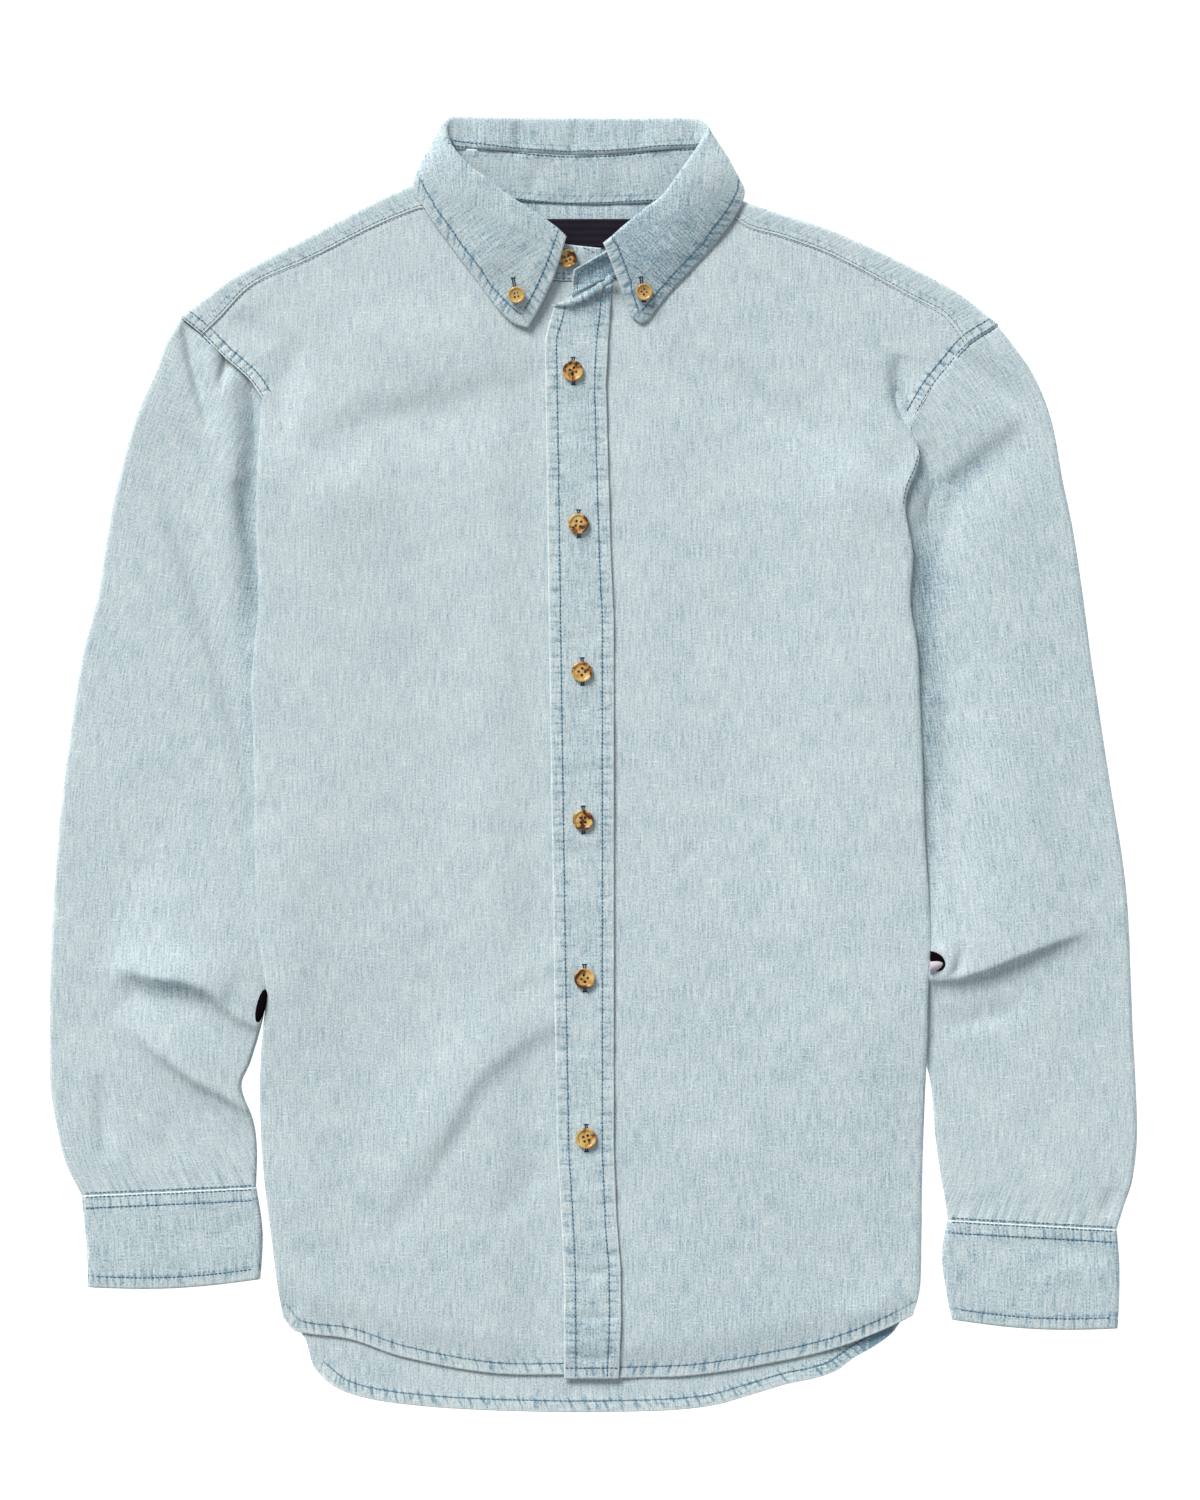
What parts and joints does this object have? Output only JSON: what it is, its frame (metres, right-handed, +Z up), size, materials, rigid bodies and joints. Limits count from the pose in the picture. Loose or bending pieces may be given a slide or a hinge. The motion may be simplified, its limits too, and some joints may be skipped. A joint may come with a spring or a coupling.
{
  "type": "chambray shirt",
  "caption": "Long-sleeved button-front shirt in washed slub chambray with a button-down collar, laid flat on its back with its front up.",
  "frame": {"origin": "middle of the shirt's outline, on the surface that it lies on", "axes": "+X towards the wearer's left side, +Y towards the collar, +Z up out of the shirt's front"},
  "size_m": [0.674, 0.8023, 0.0165],
  "materials": {
    "chambray": "washed-out pale blue slub cotton, matt",
    "label": "dense dark navy satin weave",
    "button": "polished mock tortoiseshell"
  },
  "bodies": {
    "root": {"back": "chambray", "yoke": "chambray", "front_right": "chambray", "front_left": "chambray", "placket": "chambray", "sleeve_right": "chambray", "sleeve_left": "chambray", "cuff_right": "chambray", "cuff_left": "chambray", "collar_fall": "chambray", "collar_stand": "chambray", "label": "label", "button_1": "button", "button_2": "button", "button_3": "button", "button_4": "button", "button_5": "button", "button_6": "button", "button_band": "button", "button_tip_right": "button", "button_tip_left": "button"}
  },
  "joints": []
}
